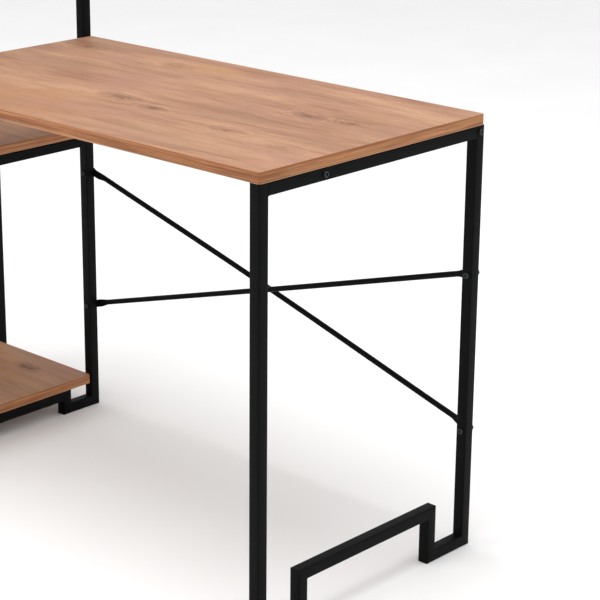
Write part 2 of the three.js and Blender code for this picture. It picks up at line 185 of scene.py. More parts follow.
class Nodes:
    """One material's node tree, with short calls for the nodes that it is made of."""

    def __init__(self, name):
        self.material = bpy.data.materials.new(name)
        self.material.use_nodes = True
        self.tree = self.material.node_tree
        self.shader = self.tree.nodes["Principled BSDF"]
        self.place = self.tree.nodes.new("ShaderNodeTexCoord").outputs["Object"]

    def feed(self, node, socket, value):
        if isinstance(value, bpy.types.NodeSocket):
            self.tree.links.new(value, node.inputs[socket])
        elif value is not None:
            node.inputs[socket].default_value = value

    def math(self, operation, first, second=None, third=None, clamp=False):
        node = self.tree.nodes.new("ShaderNodeMath")
        node.operation = operation
        node.use_clamp = clamp
        for index, value in enumerate((first, second, third)):
            self.feed(node, index, value)
        return node.outputs[0]

    def stretch(self, vector, scale, move=(0, 0, 0)):
        node = self.tree.nodes.new("ShaderNodeMapping")
        self.feed(node, "Vector", vector)
        node.inputs["Scale"].default_value = scale
        node.inputs["Location"].default_value = move
        return node.outputs[0]

    def noise(self, vector, scale=1, detail=2, roughness=0.5):
        node = self.tree.nodes.new("ShaderNodeTexNoise")
        self.feed(node, "Vector", vector)
        node.inputs["Scale"].default_value = scale
        node.inputs["Detail"].default_value = detail
        node.inputs["Roughness"].default_value = roughness
        return node.outputs["Fac"]

    def split(self, vector):
        node = self.tree.nodes.new("ShaderNodeSeparateXYZ")
        self.feed(node, 0, vector)
        return node.outputs

    def join(self, x, y, z):
        node = self.tree.nodes.new("ShaderNodeCombineXYZ")
        for index, value in enumerate((x, y, z)):
            self.feed(node, index, value)
        return node.outputs[0]

    def between(self, value, low, high, to_low=0, to_high=1):
        """Takes low..high smoothly to to_low..to_high."""
        node = self.tree.nodes.new("ShaderNodeMapRange")
        node.interpolation_type = "SMOOTHSTEP"
        for index, number in enumerate((value, low, high, to_low, to_high)):
            self.feed(node, index, number)
        return node.outputs[0]

    def ramp(self, value, *stops):
        node = self.tree.nodes.new("ShaderNodeValToRGB")
        self.feed(node, "Fac", value)
        points = node.color_ramp.elements
        while len(points) < len(stops):
            points.new(0.5)
        for point, (position, colour) in zip(points, stops):
            point.position = position
            point.color = (*colour, 1)
        return node.outputs["Color"]

    def mix(self, factor, first, second):
        node = self.tree.nodes.new("ShaderNodeMix")
        node.data_type = "RGBA"
        for index, value in ((0, factor), (6, first), (7, second)):
            if isinstance(value, tuple):
                value = (*value, 1)
            self.feed(node, index, value)
        return node.outputs[2]

    def bump(self, height, distance, strength):
        node = self.tree.nodes.new("ShaderNodeBump")
        self.feed(node, "Height", height)
        node.inputs["Distance"].default_value = distance
        node.inputs["Strength"].default_value = strength
        self.feed(self.shader, "Normal", node.outputs[0])

    def set(self, **inputs):
        for name, value in inputs.items():
            self.feed(self.shader, name.replace("_", " "), value)


def srgb(red, green, blue):
    """A colour as a paint chart names it, 0 to 255, in the shader's linear numbers."""
    return tuple(
        c / 12.92 if c <= 0.04045 else ((c + 0.055) / 1.055) ** 2.4
        for c in (red / 255, green / 255, blue / 255)
    )


OAK_PALE = srgb(186, 144, 112)
OAK_MIDDLE = srgb(167, 125, 97)
OAK_DARK = srgb(142, 100, 76)
OAK_GOLD = srgb(168, 121, 77)
OAK_ROSE = srgb(160, 116, 97)
OAK_ASH = srgb(152, 119, 92)
OAK_KNOT = srgb(98, 66, 46)
OAK_PORE = srgb(112, 77, 56)
BAND_LIGHT = srgb(186, 130, 88)
BAND_DARK = srgb(148, 94, 60)
BAND_LINE = srgb(124, 76, 48)
# Painted highlight colour for the pale lower rim of the edge bands.
BAND_RIM_HIGHLIGHT = srgb(178, 144, 116)
PAINT_DARK, PAINT_MIDDLE, PAINT_LIGHT = srgb(4, 5, 6), srgb(8, 9, 10), srgb(14, 16, 18)
PAINT_SPECK = srgb(40, 42, 46)
STEEL_DARK, STEEL_MIDDLE, STEEL_WORN = srgb(30, 31, 34), srgb(50, 51, 55), srgb(96, 96, 98)
FLOOR_DARK, FLOOR_LIGHT = srgb(249, 249, 249), srgb(252, 252, 252)

# A knot is its place on the board, as shares of its length and width from the middle,
# its radius, and how dark it is.
DESKTOP_KNOTS = (
    (-0.038, -0.121, 16 * MM, 0.6),
    (0.069, -0.16, 10 * MM, 0.6),
    (0.30, 0.097, 12 * MM, 0.75),
    (0.385, 0.11, 7 * MM, 0.7),
    (0.407, -0.259, 18 * MM, 0.25),
    (0.273, -0.205, 12 * MM, 0.35),
    (-0.157, 0.338, 14 * MM, 0.35),
    (-0.423, 0.361, 18 * MM, 0.4),
)
SHELF_KNOTS = (
    ((0.109, 0.373, 13 * MM, 0.75), (-0.28, -0.1, 9 * MM, 0.5)),
    ((-0.2, 0.1, 14 * MM, 0.6), (0.31, -0.3, 7 * MM, 0.7)),
    ((0.25, 0.05, 12 * MM, 0.7), (-0.3, 0.3, 9 * MM, 0.5)),
    ((-0.1, -0.2, 13 * MM, 0.7), (0.2, 0.32, 8 * MM, 0.6)),
)


# Noise scales of the printed oak: along the grain, across it, and through the board.
WIDE_SWAY, NARROW_SWAY = (1.5, 4.5, 1), (7, 26, 1)
STREAKS, LINES, DASHES = (4.2, 30, 1), (8, 140, 1), (24, 430, 1)
FIBRES, PORES = (24, 900, 1), (55, 1500, 1)
CLOUDS, BLUSH, ASH = (3, 7, 1), (5, 11, 1), (4, 19, 1)
KNOT_FRINGE = (60, 190, 1)

WIDE_BEND, NARROW_BEND = 85 * MM, 14 * MM    # how far the grain sways sideways

KNOT_LENGTH = 2.1                 # a knot's length along the grain, in its radii
KNOT_FADE = 0.35                  # how fast its pull on the grain fades
KNOT_PULL = -0.8
FRINGE_DEPTH = 2.6                # how ragged its outline is, in radii
CORE_FROM, CORE_TO = 1.7, 0.1     # where it starts to darken and is darkest, in radii
HALO_FROM, HALO_TO = 3.4, 0.7     # the same for the rings round it
HALO_RATE = 6

HEART_SQUEEZE = 0.10              # makes the year rings ten times as long as they are wide
HEART_ALONG, HEART_ACROSS = 0.02, 0.03       # how far the rings' heart is off the middle
RING_PITCH = 16 * MM
RING_WOBBLE = 1.6
RING_EDGE = 2.2                   # how sharply a ring ends

STREAK_GAIN, STREAK_FLOOR = 1.7, -0.35
LINE_GAIN, FIBRE_GAIN = 0.24, 0.18
RING_SHADE, HALO_SHADE = -0.12, -0.34


def swayed_line(nodes, here, across, shift):
    """Distance across the board, bent so that the grain runs in slow curves."""
    wide = nodes.noise(nodes.stretch(here, WIDE_SWAY, shift), detail=1)
    narrow = nodes.noise(nodes.stretch(here, NARROW_SWAY, shift), detail=2)
    bend = nodes.math("MULTIPLY_ADD", wide, WIDE_BEND, -WIDE_BEND / 2)
    small_bend = nodes.math("MULTIPLY_ADD", narrow, NARROW_BEND, -NARROW_BEND / 2)
    return nodes.math("ADD", across, nodes.math("ADD", bend, small_bend))


def knot_marks(nodes, along, across, line, fringe, knots):
    """The grain's line bent round the knots, how dark each place in a knot is, and the
    rings round them. A knot is its place from the middle, its radius and its strength."""
    dark, halo = 0, 0
    for x, y, radius, strength in knots:
        far_x = nodes.math("SUBTRACT", along, x)
        far_y = nodes.math("SUBTRACT", across, y)
        span_x = nodes.math("DIVIDE", far_x, KNOT_LENGTH * radius)
        span_y = nodes.math("DIVIDE", far_y, radius)
        squares = nodes.math("MULTIPLY", span_y, span_y)
        squares = nodes.math("MULTIPLY_ADD", span_x, span_x, squares)
        reach = nodes.math("DIVIDE", 1, nodes.math("MULTIPLY_ADD", squares, KNOT_FADE, 1))
        pull = nodes.math("MULTIPLY", nodes.math("MULTIPLY", reach, reach), KNOT_PULL)
        line = nodes.math("MULTIPLY_ADD", pull, far_y, line)
        distance = nodes.math("SQRT", squares)
        ragged = nodes.math("ADD", distance, -FRINGE_DEPTH / 2)
        ragged = nodes.math("MULTIPLY_ADD", fringe, FRINGE_DEPTH, ragged)
        dark = nodes.math("MAXIMUM", dark, nodes.between(ragged, CORE_FROM, CORE_TO, 0, strength))
        rings = nodes.math("SINE", nodes.math("MULTIPLY", ragged, HALO_RATE))
        fade = nodes.between(distance, HALO_FROM, HALO_TO, 0, strength)
        halo = nodes.math("ADD", halo, nodes.math("MULTIPLY", rings, fade))
    return line, dark, halo


def year_rings(nodes, along, line, clouds, seed):
    """Long arches round a heart near the board's middle."""
    heart_x = nodes.math("MULTIPLY_ADD", along, HEART_SQUEEZE, HEART_ALONG * math.sin(seed))
    heart_y = nodes.math("ADD", line, HEART_ACROSS * math.cos(seed))
    squares = nodes.math("MULTIPLY", heart_y, heart_y)
    squares = nodes.math("MULTIPLY_ADD", heart_x, heart_x, squares)
    rings = nodes.math("DIVIDE", nodes.math("SQRT", squares), RING_PITCH)
    rings = nodes.math("MULTIPLY_ADD", clouds, RING_WOBBLE, rings)
    return nodes.math("POWER", nodes.math("FRACT", rings), RING_EDGE)


def oak_laminate(name, low, high, knots, seed):
    """Printed oak on a board, its grain along X and its figure bent round each knot."""
    nodes = Nodes(name)
    centre, size = (low + high) / 2, high - low
    here = nodes.stretch(nodes.place, (1, 1, 1), tuple(-centre))
    along, across = nodes.split(here)[:2]
    shift = (3.7 * seed, 1.9 * seed, 0.4 * seed)

    line = swayed_line(nodes, here, across, shift)
    fringe = nodes.noise(nodes.stretch(here, KNOT_FRINGE, shift), detail=3)
    places = [(x * size.x, y * size.y, radius, strength) for x, y, radius, strength in knots]
    line, dark, halo = knot_marks(nodes, along, across, line, fringe, places)

    run = nodes.join(along, line, 0.1 * seed)
    streaks = nodes.noise(nodes.stretch(run, STREAKS, shift), detail=4, roughness=0.58)
    lines = nodes.noise(nodes.stretch(run, LINES, shift), detail=3, roughness=0.6)
    dashes = nodes.noise(nodes.stretch(run, DASHES, shift), detail=1)
    fibres = nodes.noise(nodes.stretch(run, FIBRES, shift), detail=2)
    pores = nodes.noise(nodes.stretch(run, PORES, shift), detail=1)
    clouds = nodes.noise(nodes.stretch(here, CLOUDS, shift), detail=2)
    blush = nodes.noise(nodes.stretch(here, BLUSH, (9.1, 2.3 * seed, 4)), detail=2)
    ash = nodes.noise(nodes.stretch(run, ASH, (1.7, 5.1 * seed, 8)), detail=2)
    rings = year_rings(nodes, along, line, clouds, seed)

    tone = nodes.math("MULTIPLY_ADD", streaks, STREAK_GAIN, STREAK_FLOOR)
    tone = nodes.math("MULTIPLY_ADD", nodes.math("SUBTRACT", lines, 0.5), LINE_GAIN, tone)
    tone = nodes.math("MULTIPLY_ADD", nodes.math("SUBTRACT", fibres, 0.5), FIBRE_GAIN, tone)
    tone = nodes.math("MULTIPLY_ADD", rings, RING_SHADE, tone)
    tone = nodes.math("MULTIPLY_ADD", halo, HALO_SHADE, tone, clamp=True)
    colour = nodes.ramp(tone, (0.12, OAK_DARK), (0.47, OAK_MIDDLE), (0.85, OAK_PALE))
    for blotches, starts, full, most, tint in (
        (clouds, 0.47, 0.68, 0.65, OAK_GOLD),
        (blush, 0.46, 0.68, 0.6, OAK_ROSE),
        (ash, 0.52, 0.72, 0.5, OAK_ASH),
    ):
        colour = nodes.mix(nodes.between(blotches, starts, full, 0, most), colour, tint)
    pore_depth = nodes.between(pores, 0.60, 0.74, 0, 0.5)
    pore_depth = nodes.math("MAXIMUM", pore_depth, nodes.between(dashes, 0.63, 0.78, 0, 0.5))
    colour = nodes.mix(pore_depth, colour, OAK_PORE)
    colour = nodes.mix(dark, colour, OAK_KNOT)

    nodes.set(Base_Color=colour, Roughness=nodes.between(lines, 0.3, 0.7, 0.5, 0.6))
    nodes.set(Specular_IOR_Level=0.18)
    height = nodes.math("MULTIPLY_ADD", pore_depth, -1, nodes.math("MULTIPLY", fibres, 0.4))
    nodes.bump(height, distance=0.05 * MM, strength=0.5)
    return nodes.material


BAND_WAVE = 5 * MM                # how far the lines along the band rise and fall
SHADE_DEPTH, SHADE_CORE = 4.5 * MM, 1.2 * MM      # painted shade: a dark line, measured from the top
HIGHLIGHT_HEIGHT, HIGHLIGHT_CORE = 2.2 * MM, 0.5 * MM         # painted highlight: a pale rim, measured from the bottom


def oak_edge(name, low, high, seed):
    """Printed edge band with lines along it, a painted shade line under its top and a painted
    highlight along its lower rim.
    """
    nodes = Nodes(name)
    x, y, z = nodes.split(nodes.place)
    shift = (2.3 * seed, 1.1 * seed, 0.7 * seed)
    sway = nodes.noise(nodes.stretch(nodes.place, (5, 5, 5), shift), detail=2)
    level = nodes.math("MULTIPLY_ADD", sway, BAND_WAVE, z)
    run = nodes.join(x, y, level)
    lines = nodes.noise(nodes.stretch(run, (5, 5, 260), shift), detail=3, roughness=0.6)
    fibres = nodes.noise(nodes.stretch(run, (30, 30, 1300), shift), detail=2)
    patches = nodes.noise(nodes.stretch(run, (11, 11, 90), shift), detail=2)
    tone = nodes.math("MULTIPLY_ADD", nodes.math("SUBTRACT", fibres, 0.5), 0.3, lines)
    colour = nodes.ramp(tone, (0.28, BAND_LINE), (0.46, BAND_DARK), (0.66, BAND_LIGHT))
    colour = nodes.mix(nodes.between(patches, 0.45, 0.7, 0, 0.55), colour, OAK_GOLD)
    # Painted shade: the band's colour is darkened in a line just under its top edge.
    under_top = nodes.math("SUBTRACT", high.z, z)
    shade = nodes.between(under_top, SHADE_DEPTH, SHADE_CORE, 0, 0.45)
    colour = nodes.mix(shade, colour, BAND_DARK)
    # Painted highlight: a pale greyish rim mixed into the colour along the band's lower edge.
    above_bottom = nodes.math("SUBTRACT", z, low.z)
    painted_rim_highlight = nodes.between(above_bottom, HIGHLIGHT_HEIGHT, HIGHLIGHT_CORE, 0, 0.7)
    colour = nodes.mix(painted_rim_highlight, colour, BAND_RIM_HIGHLIGHT)
    nodes.set(Base_Color=colour, Roughness=nodes.between(lines, 0.3, 0.7, 0.42, 0.54))
    nodes.set(Specular_IOR_Level=0.2)
    nodes.bump(fibres, distance=0.04 * MM, strength=0.4)
    return nodes.material


def powder_coat():
    """Satin black powder coat: a fine orange peel, a cloudy sheen and small pale specks."""
    nodes = Nodes("powder_coat")
    clouds = nodes.noise(nodes.place, scale=22, detail=4)
    peel = nodes.noise(nodes.place, scale=750, detail=3, roughness=0.55)
    specks = nodes.noise(nodes.place, scale=2300, detail=1)
    scuffs = nodes.noise(nodes.stretch(nodes.place, (35, 35, 9)), detail=5, roughness=0.7)
    tone = nodes.math("MULTIPLY_ADD", clouds, 0.7, nodes.math("MULTIPLY", scuffs, 0.3))
    colour = nodes.ramp(tone, (0.3, PAINT_DARK), (0.52, PAINT_MIDDLE), (0.75, PAINT_LIGHT))
    colour = nodes.mix(nodes.between(specks, 0.66, 0.74, 0, 0.3), colour, PAINT_SPECK)
    rough = nodes.between(tone, 0.3, 0.7, 0.40, 0.54)
    nodes.set(Base_Color=colour, Roughness=rough, Specular_IOR_Level=0.06)
    nodes.bump(peel, distance=0.05 * MM, strength=0.45)
    return nodes.material


def blackened_steel():
    """Blackened steel with stains, brighter worn spots and fine marks."""
    nodes = Nodes("blackened_steel")
    stains = nodes.noise(nodes.place, scale=420, detail=4, roughness=0.65)
    marks = nodes.noise(nodes.stretch(nodes.place, (900, 900, 5200)), detail=2)
    tone = nodes.math("MULTIPLY_ADD", marks, 0.35, nodes.math("MULTIPLY", stains, 0.75))
    colour = nodes.ramp(tone, (0.3, STEEL_DARK), (0.55, STEEL_MIDDLE), (0.8, STEEL_WORN))
    nodes.set(Base_Color=colour, Roughness=nodes.between(stains, 0.3, 0.7, 0.30, 0.50))
    nodes.set(Metallic=0.85)
    nodes.bump(marks, distance=0.02 * MM, strength=0.35)
    return nodes.material


FRAME_PAINT = powder_coat()
STEEL = blackened_steel()

# ---------- mesh code ----------


def outline(half_x, half_y, radius):
    """Rounded rectangle about the origin, anticlockwise, as (x, y)."""
    points = []
    corners = ((1, 1, 0), (-1, 1, 1), (-1, -1, 2), (1, -1, 3))
    for sign_x, sign_y, quarter in corners:
        for step in range(CORNER_STEPS + 1):
            angle = (quarter + step / CORNER_STEPS) * math.pi / 2
            points.append((
                sign_x * (half_x - radius) + radius * math.cos(angle),
                sign_y * (half_y - radius) + radius * math.sin(angle),
            ))
    return points


def loft(rings, closed=False):
    """Vertices and faces of a skin over rings of equal length: closed into a loop,
    or with a cap on its first and last ring."""
    count = len(rings[0])
    vertices = [point for ring in rings for point in ring]
    faces = []
    pairs = len(rings) if closed else len(rings) - 1
    for row in range(pairs):
        first, second = row * count, (row + 1) % len(rings) * count
        for i in range(count):
            j = (i + 1) % count
            faces.append((first + i, first + j, second + j, second + i))
    if not closed:
        faces.append(tuple(reversed(range(count))))
        faces.append(tuple(range(len(vertices) - count, len(vertices))))
    return vertices, faces


def merge(parts):
    """Several (vertices, faces) as one."""
    vertices, faces = [], []
    for part_vertices, part_faces in parts:
        start = len(vertices)
        vertices.extend(part_vertices)
        faces.extend(tuple(start + i for i in face) for face in part_faces)
    return vertices, faces


def add_piece(name, shape, material, replaced=None, sharp_angle=32):
    """Makes a shape into a piece of the desk. replaced is the CAD node that it stands for."""
    vertices, faces = shape
    mesh = bpy.data.meshes.new(name)
    mesh.from_pydata([tuple(v) for v in vertices], [], faces)
    shell = bmesh.new()
    shell.from_mesh(mesh)
    bmesh.ops.recalc_face_normals(shell, faces=shell.faces)
    shell.to_mesh(mesh)
    shell.free()
    mesh.shade_smooth()
    mesh.set_sharp_from_angle(angle=math.radians(sharp_angle))
    mesh.materials.append(material)
    piece = bpy.data.objects.new(name, mesh)
    bpy.context.scene.collection.objects.link(piece)
    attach(piece, "root")
    if replaced:
        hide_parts(replaced)
    return piece


def placed(shape, origin, direction, spin):
    """A shape made along +Z, moved to origin and turned to run along direction."""
    vertices, faces = shape
    turn = direction.to_track_quat("Z", "Y") @ Quaternion(UP, spin)
    return [origin + turn @ Vector(v) for v in vertices], faces


# ---------- square tube and its welds ----------


def tube_shape(start, end, came_from=None, goes_to=None):
    """Hollow square tube between two points of its centre line. came_from and goes_to are
    the directions of the tubes that it is mitred to, or None at a square end."""
    run = end - start
    direction = run.normalized()
    side = BACK if abs(direction.x) > 0.5 else RIGHT
    other = direction.cross(side)

    def ring(half, radius, at_end):
        points = []
        for u, v in outline(half, half, radius):
            offset = side * u + other * v
            turn = goes_to if at_end else came_from
            slope = offset.dot(turn) if turn else 0
            if at_end:
                points.append(end + offset - direction * (CLOSED_GAP + slope))
            else:
                points.append(start + offset + direction * (CLOSED_GAP - slope))
        return points

    inner = HALF_TUBE - WALL
    inner_corner = TUBE_CORNER - WALL
    return loft([
        ring(HALF_TUBE, TUBE_CORNER, False), ring(HALF_TUBE, TUBE_CORNER, True),
        ring(inner, inner_corner, True), ring(inner, inner_corner, False),
    ], closed=True)


def centre_line(node, direction, mitred_start, mitred_end):
    """Ends of a tube's centre line. A mitred end reaches half a tube past its corner."""
    low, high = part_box(node)
    centre, half = (low + high) / 2, (high - low) / 2
    reach = abs(half.dot(direction))
    start_cut = HALF_TUBE - WELD_GAP if mitred_start else -WELD_GAP
    end_cut = HALF_TUBE - WELD_GAP if mitred_end else -WELD_GAP
    return centre - direction * (reach - start_cut), centre + direction * (reach - end_cut)


RIPPLE = 1.5 * MM                 # from one ripple of a weld to the next
RIPPLE_STEPS = 3                  # rings of points in one ripple
RIPPLE_HEIGHT = 0.10              # as a share of the bead's radius
BEAD_SIDES = 8
SEAM_RADIUS = 0.6 * MM            # bead on a face, ground nearly flush
SEAM_SINK = 0.42 * MM
FILLET_RADIUS = 1.2 * MM          # bead left whole in an inner corner
OUTER_SINK = 0.55 * MM


def dense_outline():
    """The tube's outline with points close enough together for the ripples."""
    path = outline(HALF_TUBE, HALF_TUBE, TUBE_CORNER)
    for i, (u, v) in enumerate(path):
        next_u, next_v = path[(i + 1) % len(path)]
        length = math.hypot(next_u - u, next_v - v)
        steps = max(1, round(length / (RIPPLE / RIPPLE_STEPS)))
        for s in range(steps):
            yield u + (next_u - u) * s / steps, v + (next_v - v) * s / steps


def inside_cad_box(vertices):
    """The vertices, with each that is outside the CAD's box moved to its side."""
    low, high = CAD_BOX
    return [Vector(max(low[i], min(high[i], v[i])) for i in range(3)) for v in vertices]


def weld_shape(corner, across_plane, upward, in_plane, fillets):
    """Bead round a joint. The joint's outline is in the plane of across_plane, the frame's
    normal, and upward; in_plane is the joint plane's own normal. fillets are the fillet
    radii at the lower and the upper side, or None where that side is ground flush."""
    inside = HALF_TUBE - TUBE_CORNER
    rings = []
    for index, (u, v) in enumerate(dense_outline()):
        fillet = fillets[0] if v < 0 else fillets[1]
        nearest = Vector((max(-inside, min(inside, u)), max(-inside, min(inside, v))))
        out = (Vector((u, v)) - nearest).normalized()
        edge = out.y ** 4
        bead = mix(SEAM_RADIUS, fillet or SEAM_RADIUS, edge)
        sink = mix(SEAM_SINK, 0 if fillet else OUTER_SINK, edge)
        bead *= 1 + RIPPLE_HEIGHT * math.sin(index * 2 * math.pi / RIPPLE_STEPS)
        outward = (across_plane * out.x + upward.normalized() * out.y).normalized()
        centre = corner + across_plane * u + upward * v - outward * sink
        ring = []
        for step in range(BEAD_SIDES):
            angle = step * 2 * math.pi / BEAD_SIDES
            off_face = outward * bead * math.cos(angle)
            along_face = in_plane * bead * math.sin(angle)
            ring.append(centre + off_face + along_face)
        rings.append(ring)
    vertices, faces = loft(rings, closed=True)
    return inside_cad_box(vertices), faces


def build_frame(prefix, upright):
    """One welded end frame: the stepped run from front upright to back upright, and its bars."""
    run = (
        (f"front_{upright}", DOWN), ("front_foot", BACK), ("front_riser", UP),
        ("step_bar", BACK), ("back_riser", DOWN), ("back_foot", BACK), (f"back_{upright}", UP),
    )
    welds = []
    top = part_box(f"{prefix}_back_{upright}")[1].z
    for i, (part, direction) in enumerate(run):
        node = f"{prefix}_{part}"
        before = run[i - 1][1] if i else None
        after = run[i + 1][1] if i + 1 < len(run) else None
        start, end = centre_line(node, direction, before is not None, after is not None)
        shape = tube_shape(start, end, before, after)
        add_piece(f"{node}_tube", shape, FRAME_PAINT, node)
        if after:
            inward = after - direction
            mitre = (direction + after).normalized()
            welds.append(weld_shape(end, RIGHT, inward, mitre, (None, FILLET_RADIUS)))
    for node in sorted(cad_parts):
        if not node.startswith(prefix) or not node.endswith("_bar") or "step" in node:
            continue
        start, end = centre_line(node, BACK, False, False)
        add_piece(f"{node}_tube", tube_shape(start, end), FRAME_PAINT, node)
        under_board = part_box(node)[1].z > top - MM
        over = None if under_board or node == "inner_desk_bar" else FILLET_RADIUS
        for corner, inner_way in ((start, BACK), (end, FRONT)):
            welds.append(weld_shape(corner, RIGHT, UP, inner_way, (FILLET_RADIUS, over)))
    add_piece(f"{prefix}_frame_welds", merge(welds), FRAME_PAINT, sharp_angle=60)


for frame_prefix, frame_upright in (("outer", "post"), ("inner", "post"), ("right", "leg")):
    build_frame(frame_prefix, frame_upright)

for rail in ("front_rail", "back_rail"):
    rail_start, rail_end = centre_line(rail, RIGHT, False, False)
    add_piece(f"{rail}_tube", tube_shape(rail_start, rail_end), FRAME_PAINT, rail)

# ---------- boards ----------


def band_shape(low, high):
    """Edge band as a ring round the board, its upper and lower outer edges eased."""
    centre, half = (low + high) / 2, (high - low) / 2
    profile = [(-EDGE_BAND, low.z + GROOVE), (-EDGE_BAND + GROOVE, low.z)]
    for end, sign in ((low.z + BAND_EASING, -1), (high.z - BAND_EASING, 1)):
        for step in range(EASING_STEPS + 1):
            turned = step / EASING_STEPS
            angle = sign * math.pi / 2 * (1 - turned if sign < 0 else turned)
            out = BAND_EASING * (math.cos(angle) - 1)
            profile.append((out, end + BAND_EASING * math.sin(angle)))
    profile += [(-EDGE_BAND + GROOVE, high.z), (-EDGE_BAND, high.z - GROOVE)]
    rings = []
    for out, z in profile:
        points = outline(half.x + out, half.y + out, BOARD_CORNER + out)
        rings.append([Vector((centre.x + x, centre.y + y, z)) for x, y in points])
    return loft(rings, closed=True)


def panel_shape(low, high):
    """The board inside its band, with a fine chamfer along the glue line."""
    centre, half = (low + high) / 2, (high - low) / 2
    inset = EDGE_BAND + CLOSED_GAP
    rings = []
    for more, z in (
        (GROOVE, low.z), (0, low.z + GROOVE), (0, high.z - GROOVE), (GROOVE, high.z),
    ):
        cut = inset + more
        points = outline(half.x - cut, half.y - cut, BOARD_CORNER - cut)
        rings.append([Vector((centre.x + x, centre.y + y, z)) for x, y in points])
    return loft(rings)


def build_board(name, knots, seed):
    low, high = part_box(f"{name}_edge_band")
    laminate = oak_laminate(f"{name}_laminate", low, high, knots, seed)
    edge = oak_edge(f"{name}_edge_print", low, high, seed)
    add_piece(f"{name}_panel", panel_shape(low, high), laminate, f"{name}_board")
    add_piece(
        f"{name}_banding", band_shape(low, high), edge, f"{name}_edge_band",
        sharp_angle=50,
    )


build_board("desktop", DESKTOP_KNOTS, 1)
shelf_names = ("bottom_shelf", "middle_shelf", "upper_shelf", "top_shelf")
for number, (shelf, shelf_knots) in enumerate(zip(shelf_names, SHELF_KNOTS)):
    build_board(shelf, shelf_knots, number + 2)

# ---------- brace rods ----------


def rod_stations(length):
    """Distances along a rod at which it has a ring of points, closest at its ends."""
    quarter_turn = math.pi / 2
    nose = [-TAB_END * math.cos(k / NOSE_STEPS * quarter_turn) for k in range(NOSE_STEPS)]
    pressed = [k * (TAB_FLAT + TAB_BLEND) / PRESSED_STEPS for k in range(PRESSED_STEPS + 1)]
    end = nose + pressed
    plain = [
        mix(end[-1], length - end[-1], k / PLAIN_STEPS) for k in range(1, PLAIN_STEPS)
    ]
    return end + plain + [length - s for s in reversed(end)]


def rod_shape(start, end, bow):
    """Round rod, pressed flat at both ends, bowed away from the other one in the middle."""
    direction = (end - start).normalized()
    length = (end - start).length
    across = direction.cross(BACK)
    rings = []
    for s in rod_stations(length):
        from_end = min(s, length - s)
        round_share = smooth((from_end - TAB_FLAT) / TAB_BLEND)
        tip = max(0.0, -from_end / TAB_END)
        narrowing = math.sqrt(max(NOSE_LEAST_WIDTH, 1 - tip ** 2))
        thin_part = max(0.0, (tip - NOSE_THIN_FROM) / (1 - NOSE_THIN_FROM))
        thinning = math.sqrt(max(NOSE_LEAST_DEPTH, 1 - thin_part ** 2))
        half_width = mix(TAB_HALF_WIDTH, ROD_RADIUS, round_share) * narrowing
        half_thick = mix(TAB_HALF_THICKNESS, ROD_RADIUS, round_share)
        power = 2 / mix(TAB_SQUARENESS, 2, round_share)
        share = max(0.0, min(1.0, s / length))
        bend = bow * 16 * share ** 2 * (1 - share) ** 2      # 0 at both ends, bow in the middle
        behind = half_thick + SEAT + bend
        ring = []
        for k in range(ROD_SIDES):
            angle = (k + 0.5) * 2 * math.pi / ROD_SIDES
            c, n = math.cos(angle), math.sin(angle)
            wide = half_width * math.copysign(abs(c) ** power, c)
            deep = half_thick * thinning * math.copysign(abs(n) ** power, n)
            ring.append(start + direction * s + across * wide + BACK * (behind + deep))
        rings.append(ring)
    return loft(rings)


def brace_anchor(corner):
    """Where a brace bolt's axis meets the back face of the frames."""
    centre = middle(f"brace_bolt_{corner}")
    return Vector((centre.x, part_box("inner_back_post")[1].y, centre.z))


def build_braces():
    for rod, first, last, bow in (
        ("falling_brace_rod", "high_left", "low_right", ROD_BOW),
        ("rising_brace_rod", "low_left", "high_right", -ROD_BOW),
    ):
        shape = rod_shape(brace_anchor(first), brace_anchor(last), bow)
        add_piece(f"{rod}_pressed", shape, FRAME_PAINT, rod)


build_braces()

# ---------- bolts, nuts and screws ----------

ROUND = 48                        # points round a turned part


def ring_at(radius_of, z):
    """A ring at height z. radius_of is a radius, or a function that gives one at an angle."""
    ring = []
    for k in range(ROUND):
        angle = k * 2 * math.pi / ROUND
        radius = radius_of(angle) if callable(radius_of) else radius_of
        ring.append(Vector((radius * math.cos(angle), radius * math.sin(angle), z)))
    return ring


def hexagon(corner_radius):
    """Radius of a hexagon at an angle."""

    def radius(angle):
        from_flat = (angle + math.pi / 6) % (math.pi / 3) - math.pi / 6
        return corner_radius * math.cos(math.pi / 6) / math.cos(from_flat)
    return radius


def thread(z, start):
    """Radius of the thread at height z, at an angle."""
    depth = THREAD_DEPTH * smooth((z - start) / THREAD_PITCH)

    def radius(angle):
        phase = (z / THREAD_PITCH - angle / (2 * math.pi)) % 1
        return BOLT_RADIUS - depth * (1 - abs(2 * phase - 1))
    return radius


